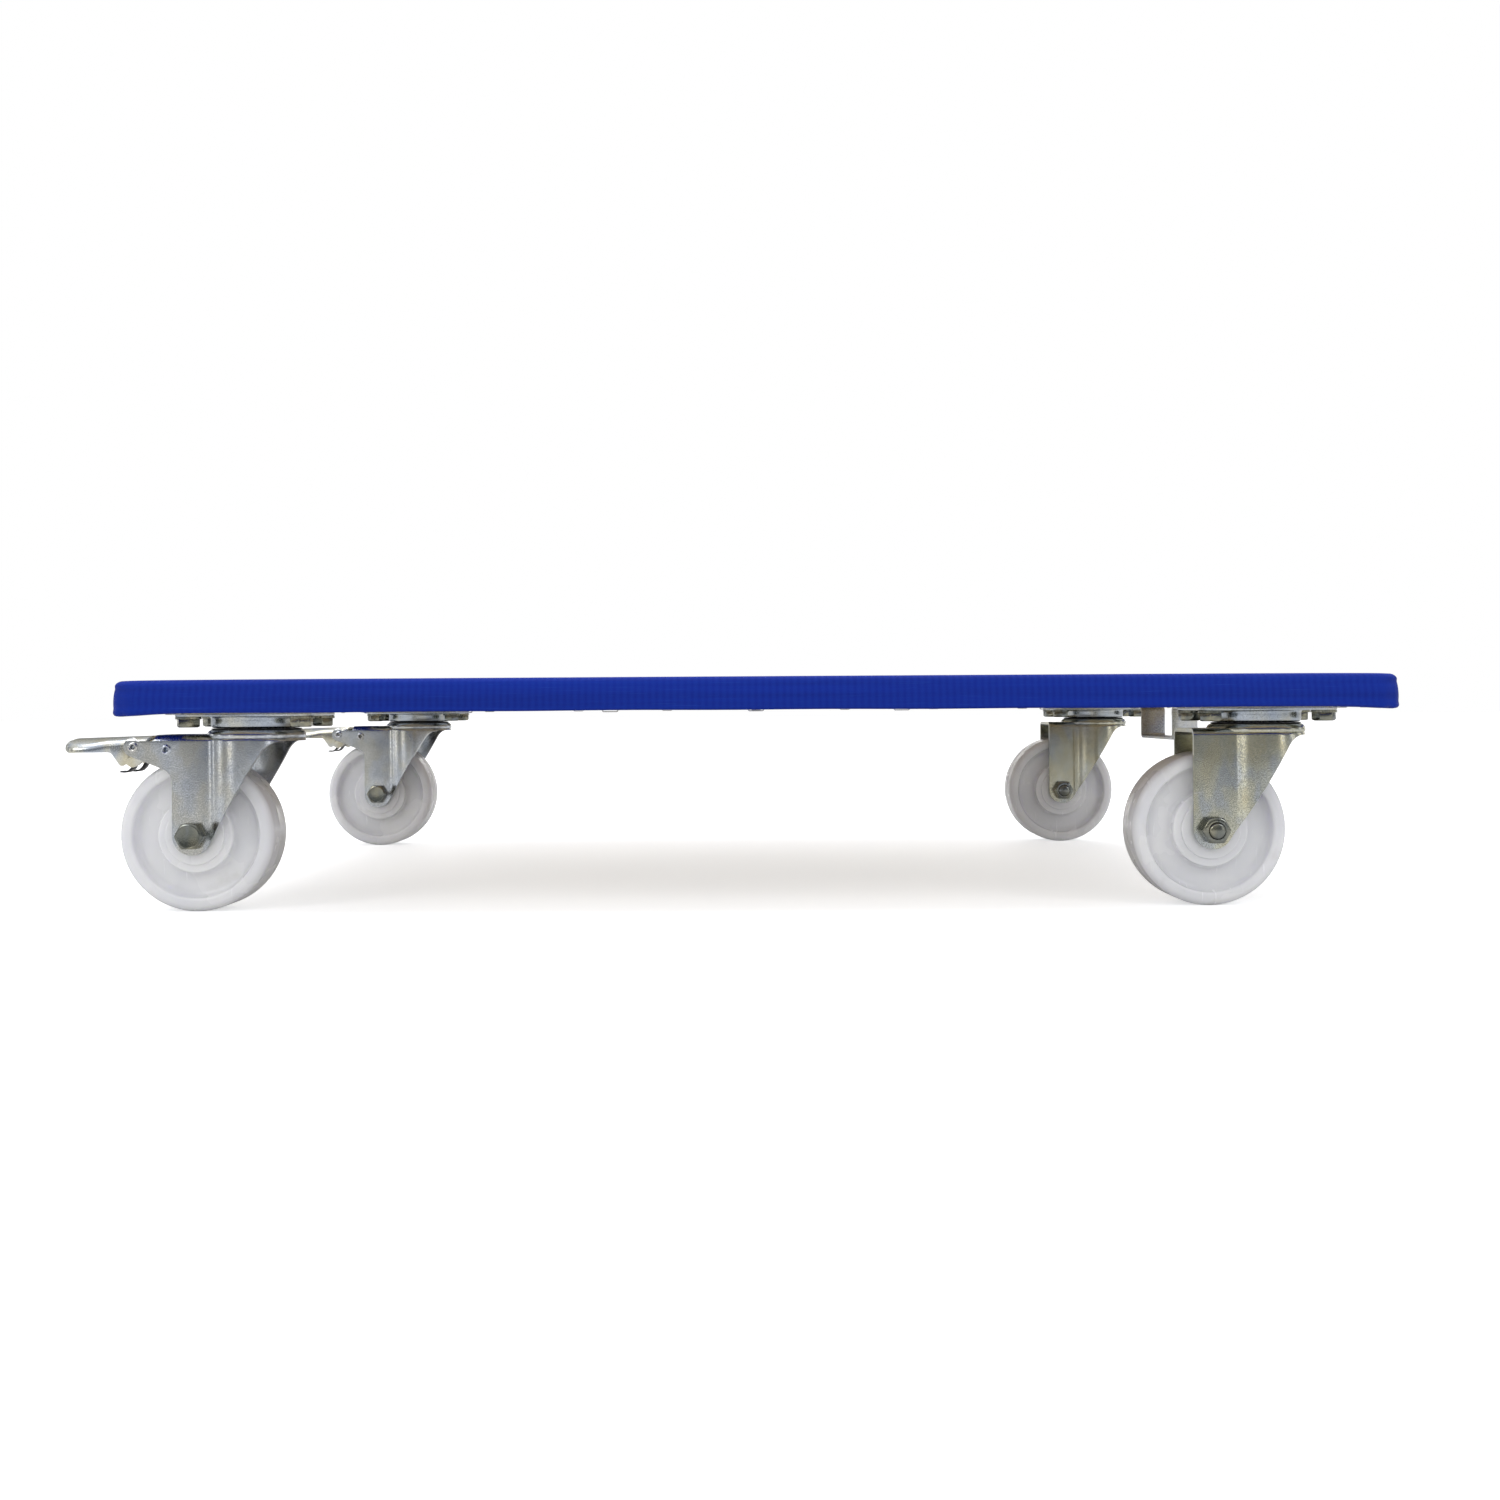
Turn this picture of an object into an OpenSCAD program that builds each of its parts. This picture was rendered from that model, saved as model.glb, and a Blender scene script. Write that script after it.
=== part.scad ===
// Flatbed platform truck: a fabric-covered plywood deck on four stamped-steel swivel casters.
// The two casters at the rear (-X) carry total-stop foot brakes, and a strap bracket for a
// drawbar hangs under the front end (+X). +Z is up, +X is the way the truck is pulled, and the
// origin is on the floor, at the middle of the overall length, pedals included.

/* [Deck] */
// Length of the covered deck, over the fabric
deck_l = 800; // [700:10:1200]
// Width of the covered deck, over the fabric
deck_w = 600; // [500:10:800]
// Radius of the deck's corners, seen from above
deck_corner_r = 18; // [12:1:30]
// Thickness of the plywood board
board_t = 18; // [16:1:21]
// Thickness of the coated fabric cover
cover_t = 1; // [0.8:0.1:1.2]
// Thickness of the felt underlay between board and cover
underlay_t = 1; // [0.8:0.1:2]
// Width of the cover's hem where it is turned under the board
hem_w = 23; // [18:1:25]
// Staples along one long side of the hem
staples_long = 9; // [4:1:14]
// Staples along one short side of the hem
staples_short = 7; // [3:1:10]

/* [Casters] */
// Height of a caster, from the floor to its mounting face
caster_h = 130; // [129:1:134]
// Distance from the deck's edges to a swivel's axis
caster_inset = 70; // [69:1:90]
// Diameter of a wheel
wheel_d = 100; // [96:1:100]
// Width of a wheel's tread
wheel_w = 32; // [28:1:34]
// Distance that the wheel trails behind the swivel's axis
trail = 35; // [34:1:36]
// Length of the mounting plate
plate_l = 88; // [86:1:94]
// Width of the mounting plate
plate_w = 64; // [62:1:70]
// Spacing of the plate's bolts along the deck
bolt_pitch_l = 73; // [71:0.5:74]
// Spacing of the plate's bolts across the deck
bolt_pitch_w = 45; // [44:0.5:47]
// Thickness of the fork's sheet
sheet = 2.5; // [2:0.1:2.8]

/* [Drawbar bracket] */
// Distance from the deck's front edge to the bracket's middle
bracket_inset = 62; // [40:1:120]
// Width of the bracket's steel strap
strap_w = 20; // [16:1:30]
// Thickness of the strap
strap_t = 2; // [1.5:0.1:3]
// Clear width between the bracket's legs
slot_w = 89; // [60:1:110]
// Clear height under the board inside the bracket
slot_h = 24.5; // [18:0.5:30]

/* [Hidden] */
$fn = 64;
CORNERS = ["rear_right", "rear_left", "front_right", "front_left"];
DECK_PARTS = ["deck_board", "deck_underlay", "deck_cover", "cover_staples", "drawbar_bracket",
    "bracket_screws", "caster_bolts", "caster_washers", "tee_nuts"];
CASTER_PARTS = ["plate", "king_pin", "race_cup", "fork", "bearing_balls", "dust_seal",
    "axle_tube", "axle_bolt", "axle_nut", "wheel", "axle_rollers"];
BRAKE_PARTS = ["brake_pedal", "brake_leaf", "brake_rivets"];
eps = 0.01;
snug = 0.05;      // radial clearance of a running fit
loose = 0.1;      // gap between pieces that are fastened together

// Heights of the deck's layers
board_z = caster_h;
board_top = board_z + board_t;
underlay_top = board_top + underlay_t;
deck_top = underlay_top + cover_t;
hem_z = board_z - cover_t;

// Places under the deck: pedal_reach is how far a pedal's tip is from its swivel's axis
pedal_reach = 120;
caster_x = deck_l / 2 - caster_inset;
caster_y = deck_w / 2 - caster_inset;
deck_x = (caster_x + pedal_reach - deck_l / 2) / 2;
bracket_x = deck_l / 2 - bracket_inset;

// Hardware
bolt_r = 4;
bolt_flats = 13;
bolt_head_h = 5.3;
washer_r = 8;
washer_t = 1.6;
plate_t = 3;
tee_r = 5;
tee_l = 11;
tee_flange_r = 9.5;
tee_flange_t = 1.5;
screw_r = 2.5;
screw_head_r = 4.5;
screw_head_h = 2.2;
screw_l = 14;
staple_w = 10;
staple_wire = 0.7;
staple_l = 8;
staple_leg_w = 1.2;

// Swivel head: the plate's pressed dish, two rows of balls, and the fork's crown
dish_r = 28.5;
dish_z = caster_h - 10.5;
dish_floor = 3.5;
crown_r = 31;
crown_z = dish_z - 1;
crown_round = 4;
pin_r = 6;
pin_head_r = 11;
ball_r = 2.4;
race_r = 2.7;
top_race = 21;
low_race = 12;
top_ball_z = (dish_z + crown_z) / 2;
low_ball_z = crown_z - sheet - 2.2;
cup_r = 17;
cup_z = crown_z - 9;
cup_top = low_ball_z - 0.5;

// Fork: two legs under the crown, cut to one outline when seen from the side
wheel_r = wheel_d / 2;
axle_x = -trail;
axle_z = wheel_r;
leg_out = 22.5;
leg_in = leg_out - sheet;
leg_end_r = 12.5;
leg_back = axle_x - leg_end_r;
web_z = crown_z - 3;
shoulder = 5;
nose_z = crown_z - 7.5;
nose_round = 14;
rake = 59;
rake_dir = [cos(rake), sin(rake)];
rake_foot = [axle_x, axle_z] + leg_end_r * [sin(rake), -cos(rake)];
rake_top = rake_foot + rake_dir * (nose_z - rake_foot[1]) / rake_dir[1];
nose_run = nose_round * tan(rake / 2);

// Axle: bolt, clamped tube, rollers, wheel bore
axle_r = 5;
axle_flats = 16;
axle_head_h = 6.4;
axle_nut_h = 8;
tube_r = 7;
roller_r = 2;
roller_pitch = tube_r + roller_r + snug;
rollers = 12;
bore_r = roller_pitch + roller_r + snug;
hub_half = 18;

// Wheel section
hub_r = 24.5;
hub_step_r = 19.3;
web_half = 9.5;
rim_r = 41;
rim_round = 4;

// Brake: pedal on the rear rivet, leaf spring on the front one
pivot = [-72.7, caster_h - 22.4];
leaf_pivot = [-51.2, caster_h - 24.1];
arm_end_r = 6.1;
arm_fall = 21.8;
rivet_r = 2.4;
rivet_head_r = 3.3;
rivet_head_h = 0.9;
arm_web_back = -62;
arm_foot = pivot + arm_end_r * [-sin(arm_fall), -cos(arm_fall)];
arm_corner = [leg_back, arm_foot[1] - (leg_back - arm_foot[0]) * tan(arm_fall)];
arm_round = 9;
arm_run = arm_round * tan((90 - arm_fall) / 2);
dip_z = web_z - 4.2;
cheek_out = 19;
pedal_sheet = 2;
paddle_half = 23.5;
paddle_round = 12;
paddle_crown_r = 58;
paddle_rise = 1.7;
leaf_t = 1;
leaf_half = 12;
prong_w = 7;
leaf_eye_r = 4;

function is_rear(c) = c == "rear_right" || c == "rear_left";

// A strip of even thickness along a bent line, as an outline
function side(line, i, t) = let(
    a = line[max(i - 1, 0)], b = line[min(i + 1, len(line) - 1)], d = (b - a) / norm(b - a)
) line[i] + t * [-d[1], d[0]];
function strip(line, t) = concat(
    [for (i = [0 : len(line) - 1]) side(line, i, t / 2)],
    [for (i = [len(line) - 1 : -1 : 0]) side(line, i, -t / 2)]
);
function arc(centre, r, from, to, steps = 8) =
    [for (i = [0 : steps]) centre + r * [cos(from + (to - from) * i / steps), sin(from + (to - from) * i / steps)]];

// ---- Shared shapes ----
module rounded(l, w, r) {
    square([l - 2 * r, w], center = true);
    square([l, w - 2 * r], center = true);
    for (x = [-1, 1], y = [-1, 1]) translate([x * (l / 2 - r), y * (w / 2 - r)]) circle(r);
}
module slab(l, w, r, from, to) {
    translate([0, 0, from]) linear_extrude(to - from) rounded(l, w, r);
}
// An outline in X and Z, given a width in Y
module across(w) {
    rotate([90, 0, 0]) linear_extrude(w, center = true) children();
}
// An outline in Y and Z, run along X
module along(from, to) {
    translate([from, 0, 0]) rotate([90, 0, 90]) linear_extrude(to - from) children();
}
module ring(r, hole, from, to) {
    translate([0, 0, from]) difference() {
        cylinder(r = r, h = to - from);
        translate([0, 0, -eps]) cylinder(r = hole, h = to - from + 2 * eps);
    }
}
module hexagon(flats, h) {
    cylinder(r = flats / sqrt(3), h = h, $fn = 6);
}
module crossways(from, to) {
    translate([0, from, 0]) rotate([-90, 0, 0]) linear_extrude(to - from) children();
}
module at_caster(c) {
    x = is_rear(c) ? -caster_x : caster_x;
    y = c == "rear_right" || c == "front_right" ? -caster_y : caster_y;
    translate([deck_x + x, y, 0]) children();
}
module at_bolts() {
    for (x = [-1, 1], y = [-1, 1]) translate([x * bolt_pitch_l / 2, y * bolt_pitch_w / 2, 0]) children();
}
module at_every_bolt() {
    for (c = CORNERS) at_caster(c) at_bolts() children();
}
module at_screws() {
    for (s = [-1, 1], y = [11, 23]) translate([deck_x + bracket_x, s * (slot_w / 2 + y), 0]) children();
}
module at_staples() {
    run_x = deck_l - 2 * deck_corner_r - 40;
    run_y = deck_w - 2 * deck_corner_r - 40;
    for (s = [-1, 1], i = [0 : staples_long - 1])
        translate([deck_x - run_x / 2 + run_x * i / (staples_long - 1), s * (deck_w / 2 - hem_w / 2), 0]) children();
    for (s = [-1, 1], i = [0 : staples_short - 1])
        translate([deck_x + s * (deck_l / 2 - hem_w / 2), -run_y / 2 + run_y * i / (staples_short - 1), 0])
            rotate([0, 0, 90]) children();
}

// ---- Deck ----
module staple_legs(gap) {
    for (s = [-1, 1]) translate([s * (staple_w - staple_leg_w) / 2, 0, hem_z + staple_l / 2])
        cube([staple_leg_w + 2 * gap, staple_wire + 2 * gap, staple_l + 2 * gap], center = true);
}
module deck_board() {
    color("burlywood") difference() {
        translate([deck_x, 0, 0]) slab(deck_l - 2 * cover_t - 2 * loose, deck_w - 2 * cover_t - 2 * loose,
            deck_corner_r - cover_t, board_z, board_top);
        at_every_bolt() {
            translate([0, 0, board_z - 1]) cylinder(r = tee_r + loose, h = board_t + 2);
            translate([0, 0, board_top - tee_flange_t]) cylinder(r = tee_flange_r + loose, h = 2 * tee_flange_t);
        }
        at_screws() translate([0, 0, board_z - 1]) cylinder(r = screw_r + snug, h = screw_l + 1);
        at_staples() staple_legs(snug);
    }
}
module deck_underlay() {
    color("dimgray") translate([deck_x, 0, 0])
        slab(deck_l - 2 * cover_t - 2 * loose, deck_w - 2 * cover_t - 2 * loose, deck_corner_r - cover_t,
            board_top, underlay_top);
}
module deck_cover() {
    color("royalblue") difference() {
        translate([deck_x, 0, 0]) difference() {
            slab(deck_l, deck_w, deck_corner_r, hem_z, deck_top);
            slab(deck_l - 2 * cover_t, deck_w - 2 * cover_t, deck_corner_r - cover_t, board_z, underlay_top);
            slab(deck_l - 2 * hem_w, deck_w - 2 * hem_w, 5, hem_z - 1, board_z + 1);
        }
        at_staples() staple_legs(snug);
    }
}
module cover_staples() {
    color("silver") at_staples() {
        staple_legs(0);
        translate([0, 0, hem_z - staple_wire / 2])
            cube([staple_w, staple_wire, staple_wire], center = true);
    }
}
module strap_outline(half, low, r) {
    translate([0, (low + board_z) / 2]) square([2 * half - 2 * r, board_z - low], center = true);
    translate([0, (low + r + board_z) / 2]) square([2 * half, board_z - low - r], center = true);
    for (s = [-1, 1]) translate([s * (half - r), low + r]) circle(r);
}
module drawbar_bracket() {
    foot = 34;
    low = board_z - slot_h - strap_t;
    color("silver") difference() {
        along(deck_x + bracket_x - strap_w / 2, deck_x + bracket_x + strap_w / 2) difference() {
            union() {
                strap_outline(slot_w / 2 + strap_t, low, 4);
                translate([0, board_z - strap_t / 2]) square([slot_w + 2 * foot, strap_t], center = true);
            }
            translate([0, eps]) strap_outline(slot_w / 2, low + strap_t, 2);
        }
        at_screws() translate([0, 0, board_z - 2 * strap_t]) cylinder(r = screw_r + loose, h = 3 * strap_t);
    }
}
module bracket_screws() {
    color("silver") at_screws() {
        translate([0, 0, board_z - strap_t - screw_head_h]) difference() {
            cylinder(r = screw_head_r, h = screw_head_h);
            translate([0, 0, -eps]) hexagon(3, 1.4);
        }
        translate([0, 0, board_z - strap_t - eps]) cylinder(r = screw_r, h = screw_l);
    }
}
module caster_bolts() {
    top = caster_h - plate_t - washer_t;
    color("silver") at_every_bolt() {
        translate([0, 0, top - bolt_head_h]) intersection() {
            hexagon(bolt_flats, bolt_head_h);
            union() {
                cylinder(r1 = bolt_flats / 2 - 0.3, r2 = bolt_flats / 2 + 0.8, h = 1.2);
                translate([0, 0, 1.2 - eps]) cylinder(r = bolt_flats, h = bolt_head_h);
            }
        }
        translate([0, 0, top - eps]) cylinder(r = bolt_r, h = plate_t + washer_t + board_t - 3);
    }
}
module caster_washers() {
    color("silver") at_every_bolt()
        ring(washer_r, bolt_r + 0.2, caster_h - plate_t - washer_t, caster_h - plate_t);
}
module tee_nuts() {
    color("silver") at_every_bolt() {
        ring(tee_r, bolt_r + snug, board_top - tee_flange_t - tee_l, board_top - tee_flange_t + eps);
        ring(tee_flange_r, bolt_r + snug, board_top - tee_flange_t, board_top);
    }
}

// ---- Swivel head ----
module plate() {
    color("silver") difference() {
        union() {
            slab(plate_l, plate_w, 8, caster_h - plate_t, caster_h);
            rotate_extrude() {
                translate([0, dish_z + 2]) square([dish_r, caster_h - dish_z - 2]);
                translate([0, dish_z]) square([dish_r - 2, 3]);
                translate([dish_r - 2, dish_z + 2]) circle(2);
            }
        }
        translate([0, 0, dish_z + dish_floor]) cylinder(r = dish_r - sheet, h = caster_h);
        translate([0, 0, dish_z - 1]) cylinder(r = pin_r + snug, h = caster_h);
        rotate_extrude() translate([top_race, top_ball_z]) circle(race_r);
        at_bolts() translate([0, 0, caster_h - 2 * plate_t]) cylinder(r = bolt_r + 0.25, h = 3 * plate_t);
    }
}
module king_pin() {
    color("silver") {
        translate([0, 0, cup_z]) cylinder(r = pin_r, h = dish_z + dish_floor - cup_z + eps);
        translate([0, 0, dish_z + dish_floor]) cylinder(r = pin_head_r, h = 3.5);
        translate([0, 0, cup_z - 3]) cylinder(r1 = pin_r, r2 = 9, h = 3 + eps);
    }
}
module race_cup() {
    color("dimgray") difference() {
        ring(cup_r, pin_r + snug, cup_z + 2 * eps, cup_top);
        rotate_extrude() translate([low_race, low_ball_z]) circle(race_r);
    }
}
module bearing_balls() {
    color("gainsboro") {
        for (i = [0 : 23]) rotate([0, 0, i * 15]) translate([top_race, 0, top_ball_z]) sphere(ball_r);
        for (i = [0 : 13]) rotate([0, 0, i * 360 / 14]) translate([low_race, 0, low_ball_z]) sphere(ball_r);
    }
}
module dust_seal() {
    color("black") ring(dish_r, 25, crown_z, dish_z - 0.3);
}

// ---- Fork ----
module cap_outline(r, top, low, round) {
    translate([0, low]) square([r, top - low - round]);
    translate([0, low]) square([r - round, top - low]);
    translate([r - round, top - round]) circle(round);
}
module channel_outline(half, top, low, round) {
    translate([-half, low]) square([2 * half, top - low - round]);
    translate([-half + round, low]) square([2 * half - 2 * round, top - low]);
    for (s = [-1, 1]) translate([s * (half - round), top - round]) circle(round);
}
// The pressing filled out to one skin: the round crown, and the channel that its legs make
module fork_skin(inset, back) {
    low = axle_z - leg_end_r - 1;
    rotate_extrude() cap_outline(crown_r - inset, crown_z - inset, low, crown_round - inset);
    along(back, -crown_r / 2) channel_outline(leg_out - inset, web_z - inset, low, shoulder - inset);
}
// The fork seen from the side: the nose's band, the raked front edge, the round end at the axle,
// and on a braked fork the arm that runs back to the pedal's rivet
module side_outline(braked) {
    nose_centre = [rake_top[0] + nose_run, nose_z - nose_round];
    foot_centre = [axle_x, axle_z];
    plain_back = [[leg_back, crown_z + 1]];
    arm_back = concat(
        arc([leg_back - arm_round, arm_corner[1] - arm_run], arm_round, 0, 90 - arm_fall),
        arc(pivot, arm_end_r, 270 - arm_fall, 90, 10),
        [[-69.5, dip_z], [-61, dip_z], [-58.5, crown_z + 1]]
    );
    polygon(concat(
        [[crown_r + 1, crown_z + 1], [crown_r + 1, nose_z]],
        arc(nose_centre, nose_round, 90, 90 + rake),
        arc(foot_centre, leg_end_r, rake - 90, -180, 16),
        braked ? arm_back : plain_back
    ));
}
module rivet_holes(r, places) {
    for (p = places) translate([p[0], 0, p[1]]) rotate([90, 0, 0]) cylinder(r = r, h = 80, center = true);
}
module fork(braked) {
    back = braked ? arm_web_back : leg_back;
    color("lightgray") difference() {
        union() {
            intersection() {
                union() {
                    difference() {
                        fork_skin(0, back);
                        fork_skin(sheet, back - 1);
                    }
                    if (braked) for (y = [-leg_out, leg_in]) translate([-90, y, axle_z])
                        cube([90 + arm_web_back + 0.5, sheet, crown_z - axle_z]);
                }
                across(80) side_outline(braked);
            }
            // The upper ball race is pressed down into the crown
            rotate_extrude() intersection() {
                translate([top_race, top_ball_z]) circle(race_r + sheet);
                translate([0, crown_z - 8]) square([crown_r - crown_round, 8]);
            }
        }
        rotate_extrude() translate([top_race, top_ball_z]) circle(race_r);
        rotate_extrude() translate([low_race, low_ball_z]) circle(race_r);
        translate([0, 0, crown_z - 6]) cylinder(r = pin_r + 1, h = 12);
        rivet_holes(axle_r + snug, [[axle_x, axle_z]]);
        if (braked) rivet_holes(rivet_r + snug, [pivot, leaf_pivot]);
    }
}

// ---- Wheel and axle ----
module axle_tube() {
    color("gray") translate([axle_x, 0, axle_z])
        crossways(-leg_in + snug, leg_in - snug) difference() {
            circle(tube_r);
            circle(axle_r + snug);
        }
}
module axle_bolt(head_side) {
    color("silver") translate([axle_x, 0, axle_z]) scale([1, -head_side, 1]) {
        crossways(-leg_out - axle_nut_h - 1.5, leg_out + eps) circle(axle_r);
        translate([0, leg_out, 0]) rotate([-90, 0, 0]) intersection() {
            hexagon(axle_flats, axle_head_h);
            union() {
                cylinder(r = axle_flats, h = axle_head_h - 1.2);
                translate([0, 0, axle_head_h - 1.2 - eps])
                    cylinder(r1 = axle_flats / 2 + 0.9, r2 = axle_flats / 2 - 0.4, h = 1.2 + eps);
            }
        }
    }
}
module axle_nut(head_side) {
    color("silver") translate([axle_x, 0, axle_z]) scale([1, head_side, 1]) difference() {
        translate([0, leg_out, 0]) rotate([-90, 0, 0]) intersection() {
            hexagon(axle_flats, axle_nut_h);
            union() {
                cylinder(r = axle_flats, h = axle_nut_h - 2);
                translate([0, 0, axle_nut_h - 2 - eps]) cylinder(r = axle_flats / 2 - 0.3, h = 2 + eps);
            }
        }
        crossways(leg_out - 1, leg_out + axle_nut_h + 1) circle(axle_r + snug);
    }
}
module wheel() {
    w = wheel_w / 2;
    half = concat(
        [[bore_r, hub_half], [hub_step_r - 0.8, hub_half], [hub_step_r, hub_half - 1.4]],
        [[hub_r - 1.4, hub_half - 1.6], [hub_r - 0.3, hub_half - 2.6]],
        arc([hub_r + 3, web_half + 3], 3, 180, 270, 6),
        arc([rim_r - 5, web_half + 4], 4, 270, 360, 6),
        arc([rim_r + 1, w - 2], 2, 180, 90, 6),
        arc([wheel_r - rim_round, w - rim_round], rim_round, 90, 0, 8)
    );
    color("white") translate([axle_x, 0, axle_z]) rotate([90, 0, 0]) rotate_extrude()
        polygon(concat(half, [for (i = [len(half) - 1 : -1 : 0]) [half[i][0], -half[i][1]]]));
}
module axle_rollers() {
    color("gainsboro") translate([axle_x, 0, axle_z]) for (i = [0 : rollers - 1])
        rotate([0, i * 360 / rollers, 0]) translate([roller_pitch, 0, 0])
            crossways(-hub_half + 1, hub_half - 1) circle(roller_r);
}

// ---- Brake ----
module pedal_plan(inset) {
    tip = -pedal_reach + paddle_round;
    wide = paddle_half - inset;
    narrow = cheek_out - inset;
    front = inset > 0 ? -64 : -66;
    polygon([
        [tip, -wide], [-101, -wide], [-89, -narrow], [front, -narrow],
        [front, narrow], [-89, narrow], [-101, wide], [tip, wide]
    ]);
    for (s = [-1, 1]) translate([tip, s * (paddle_half - paddle_round)]) circle(paddle_round - inset);
    translate([tip - paddle_round + inset, -paddle_half + paddle_round])
        square([paddle_round, 2 * (paddle_half - paddle_round)]);
}
module pedal_skin(inset) {
    intersection() {
        translate([0, 0, 90]) linear_extrude(30) pedal_plan(inset);
        translate([-pedal_reach - 5, 0, caster_h - 16.9 - paddle_crown_r]) rotate([0, 90 - paddle_rise, 0])
            cylinder(r = paddle_crown_r - inset, h = 70);
    }
}
module brake_pedal() {
    z = caster_h - 130;
    color("silver") difference() {
        intersection() {
            difference() {
                pedal_skin(0);
                pedal_skin(pedal_sheet);
            }
            across(80) translate([0, z]) polygon(concat(
                [[-66, 118], [-121, 118], [-121, 107.2], [-117, 105.4], [-108, 104.3], [-90, 104.3]],
                [[-87, 102.6], [-84.5, 98.4], [-83.3, 96.3]], arc([-81.3, 96.8], 1.6, 195, 300, 4),
                [[-78.2, 96.6], [-74.4, 94.4], [-70, 95.5], [-66.5, 101]]
            ));
        }
        rivet_holes(rivet_r + snug, [pivot]);
    }
}
module brake_leaf() {
    tail = [
        [-54.4, 104.3], [-58, 99.5], [-61, 97.4], [-64, 98.3], [-67.5, 101], [-71, 102], [-74, 100.3],
        [-76, 97], [-78, 93.6], [-80, 91.8], [-82.2, 91.2], [-85.4, 91.4]
    ];
    z = caster_h - 130;
    color("black") difference() {
        union() {
            across(2 * leaf_half) translate([0, z]) polygon(strip(tail, leaf_t));
            translate([leaf_pivot[0], 0, leaf_pivot[1]]) across(2 * leaf_half) circle(leaf_eye_r);
        }
        rivet_holes(rivet_r + snug, [leaf_pivot]);
        translate([-95, -leaf_half + prong_w, 80]) cube([20, 2 * (leaf_half - prong_w), 30]);
    }
}
module brake_rivets() {
    reach = leg_out + rivet_head_h;
    color("silver") for (p = [pivot, leaf_pivot]) translate([p[0], 0, p[1]]) difference() {
        union() {
            crossways(-leg_out, leg_out) circle(rivet_r);
            for (s = [-1, 1]) scale([1, s, 1]) crossways(leg_out - eps, reach) circle(rivet_head_r);
        }
        for (s = [-1, 1]) scale([1, s, 1]) crossways(leg_out - 3, reach + 1) circle(1.4);
    }
}

// ---- The whole truck ----
deck_board();
deck_underlay();
deck_cover();
cover_staples();
drawbar_bracket();
bracket_screws();
caster_bolts();
caster_washers();
tee_nuts();
for (c = CORNERS) at_caster(c) {
    braked = is_rear(c);
    head_side = braked ? -1 : 1;
    plate();
    king_pin();
    race_cup();
    fork(braked);
    bearing_balls();
    dust_seal();
    axle_tube();
    axle_bolt(head_side);
    axle_nut(head_side);
    wheel();
    axle_rollers();
    if (braked) brake_pedal();
    if (braked) brake_leaf();
    if (braked) brake_rivets();
}
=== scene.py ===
from math import atan2, cos, degrees, exp, pi, radians, sin, sqrt, tan

import bpy
from mathutils import Matrix, Vector


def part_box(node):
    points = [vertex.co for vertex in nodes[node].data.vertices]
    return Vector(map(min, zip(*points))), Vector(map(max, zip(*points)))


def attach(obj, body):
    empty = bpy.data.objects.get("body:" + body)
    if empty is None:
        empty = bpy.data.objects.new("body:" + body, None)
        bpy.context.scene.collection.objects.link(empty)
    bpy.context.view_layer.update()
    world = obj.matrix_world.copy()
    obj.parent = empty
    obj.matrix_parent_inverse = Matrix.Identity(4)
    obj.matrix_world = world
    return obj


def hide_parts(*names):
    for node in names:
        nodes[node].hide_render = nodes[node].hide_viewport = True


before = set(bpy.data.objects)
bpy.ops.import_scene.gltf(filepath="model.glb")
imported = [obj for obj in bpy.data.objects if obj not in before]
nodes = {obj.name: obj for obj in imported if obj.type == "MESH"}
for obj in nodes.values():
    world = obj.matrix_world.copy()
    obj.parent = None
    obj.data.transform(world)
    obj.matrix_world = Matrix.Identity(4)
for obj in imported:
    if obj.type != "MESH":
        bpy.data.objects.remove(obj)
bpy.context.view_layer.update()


# ---- Deck board ----
# The load is carried by an 18 mm sheet of birch plywood. Its sawn edge shows the crossed
# veneers, and its underside is the sanded face veneer, with the grain along the truck.

class Shade:
    """One output socket of a material's nodes. Arithmetic on it adds Math nodes."""

    def __init__(self, tree, out=None):
        self.tree, self.out = tree, out

    def add(self, kind, inputs, pick=0, **settings):
        node = self.tree.nodes.new("ShaderNode" + kind)
        for name, value in settings.items():
            setattr(node, name, value)
        for name, value in inputs.items():
            if isinstance(value, Shade):
                self.tree.links.new(value.out, node.inputs[name])
            else:
                node.inputs[name].default_value = value
        return Shade(self.tree, node.outputs[pick])

    def math(self, operation, other=0.0):
        return self.add("Math", {0: self, 1: other}, operation=operation)

    def __add__(self, other):
        return self.math("ADD", other)

    def __mul__(self, other):
        return self.math("MULTIPLY", other)

    __radd__, __rmul__ = __add__, __mul__

    def axis(self, number):
        return self.add("SeparateXYZ", {0: self}, pick=number)

    def noise(self, scale, detail=2.0, stretch=(1.0, 1.0, 1.0)):
        """Cloudy values, most of them from 0.3 to 0.7; scale is in lumps a metre."""
        at = self.add("Mapping", {"Vector": self, "Scale": stretch})
        return self.add("TexNoise", {"Vector": at, "Scale": scale, "Detail": detail})

    def ramp(self, low, high, to_low=0.0, to_high=1.0):
        """Values from low to high spread over to_low to to_high, and held outside them."""
        ends = {"Value": self, "From Min": low, "From Max": high, "To Min": to_low, "To Max": to_high}
        return self.add("MapRange", ends)

    def mix(self, a, b):
        """Colour a where this value is 0 and colour b where it is 1."""
        a, b = [c if isinstance(c, Shade) else (*c, 1.0) for c in (a, b)]
        return self.add("Mix", {0: self, 6: a, 7: b}, pick=2, data_type="RGBA")

    def bump(self, distance, strength=1.0):
        return self.add("Bump", {"Height": self, "Distance": distance, "Strength": strength})


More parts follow.
